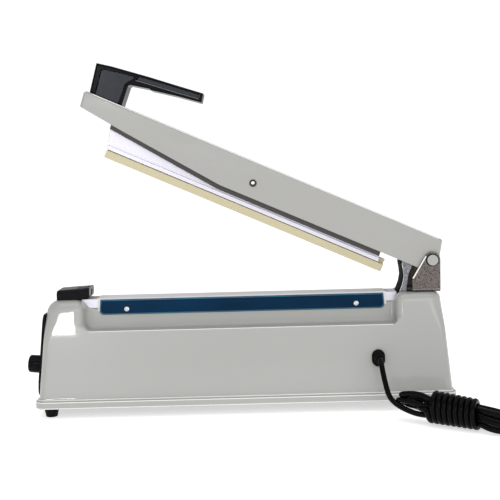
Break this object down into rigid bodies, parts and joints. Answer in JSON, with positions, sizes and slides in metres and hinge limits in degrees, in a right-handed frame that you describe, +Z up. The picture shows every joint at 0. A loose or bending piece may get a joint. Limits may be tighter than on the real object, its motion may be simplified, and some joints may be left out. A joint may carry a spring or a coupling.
{
  "type": "impulse heat sealer",
  "caption": "Bench impulse heat sealer with a painted base, hinged sealing arm shown open, timer knob, black handle and a mains cord tied in a hank.",
  "frame": {"origin": "on the table, under the middle of the machine's outline without the free cord", "axes": "+X along the base towards the hinge, +Y to the back, +Z up"},
  "size_m": [0.5706, 0.188, 0.3563],
  "materials": {
    "paint": "satin",
    "black_plastic": "gloss",
    "matte_black": "matte",
    "white_plastic": "matte",
    "black_rubber": "matte",
    "silicone": "matte",
    "bright_steel": "satin",
    "zinc_steel": "satin",
    "dark_steel": "satin",
    "core_steel": "matte",
    "aluminium": "satin",
    "copper": "satin",
    "brass": "satin",
    "nichrome": "satin",
    "ptfe": "satin",
    "tape": "matte",
    "blue_strip": "gloss",
    "board_green": "matte",
    "component_blue": "matte",
    "red_wire": "matte",
    "blue_wire": "matte",
    "lamp_lens": "gloss",
    "cord_black": "satin"
  },
  "bodies": {
    "base": {"housing": "paint", "base_plate": "dark_steel", "rubber_feet": "black_rubber", "foot_screws": "bright_steel", "control_panel": "black_plastic", "indicator_lamp": "lamp_lens", "timer_potentiometer": "bright_steel", "timer_nut": "bright_steel", "timer_board": "board_green", "board_components": "component_blue", "board_standoffs": "white_plastic", "transformer_core": "core_steel", "transformer_coil": "copper", "transformer_strap": "zinc_steel", "transformer_screws": "bright_steel", "terminal_block": "white_plastic", "secondary_leads": "red_wire", "supply_leads": "blue_wire", "micro_switch": "matte_black", "switch_cover": "black_plastic", "trigger_pin": "bright_steel", "sealing_rail": "aluminium", "rail_screws": "bright_steel", "rail_tape": "tape", "heating_element": "nichrome", "element_terminals": "brass", "ptfe_cover": "ptfe", "front_clamp_strip": "blue_strip", "rear_clamp_strip": "blue_strip", "clamp_screws": "bright_steel", "hinge_bracket": "zinc_steel", "bracket_screws": "bright_steel", "hinge_pin": "bright_steel", "hinge_washers": "white_plastic", "return_spring": "bright_steel", "spring_anchor": "zinc_steel", "strain_relief": "black_rubber", "mains_lead": "cord_black", "cord_hank": "cord_black", "cord_tail": "cord_black", "plug_body": "matte_black", "plug_pins": "brass"},
    "arm": {"arm_shell": "paint", "bar_carrier": "dark_steel", "pressing_bar": "aluminium", "silicone_strip": "silicone", "bar_rivet": "bright_steel", "arm_lever": "zinc_steel", "lever_rivets": "bright_steel", "hinge_bush": "bright_steel", "handle": "black_plastic", "handle_screws": "bright_steel"},
    "knob": {"timer_knob": "black_plastic", "timer_shaft": "bright_steel"},
    "trigger": {"switch_trigger": "black_plastic"}
  },
  "joints": [
    {"name": "arm_hinge", "type": "hinge", "parent": "base", "child": "arm", "pos_m": [0.1997, 0, 0.15], "axis": [0, -1, 0], "range_deg": [0, 24], "stiffness_Nm_per_rad": 3, "springref_deg": -68.75, "deforming": ["return_spring"]},
    {"name": "timer_knob_turn", "type": "hinge", "parent": "base", "child": "knob", "pos_m": [-0.20109, 0, 0.0476], "axis": [-0.9957, 0, 0.0924], "range_deg": [-150, 150]},
    {"name": "switch_trigger_press", "type": "hinge", "parent": "base", "child": "trigger", "pos_m": [-0.1793, 0, 0.122], "axis": [0, 1, 0], "range_deg": [0, 6], "stiffness_Nm_per_rad": 0.05, "springref_deg": -11.46}
  ]
}
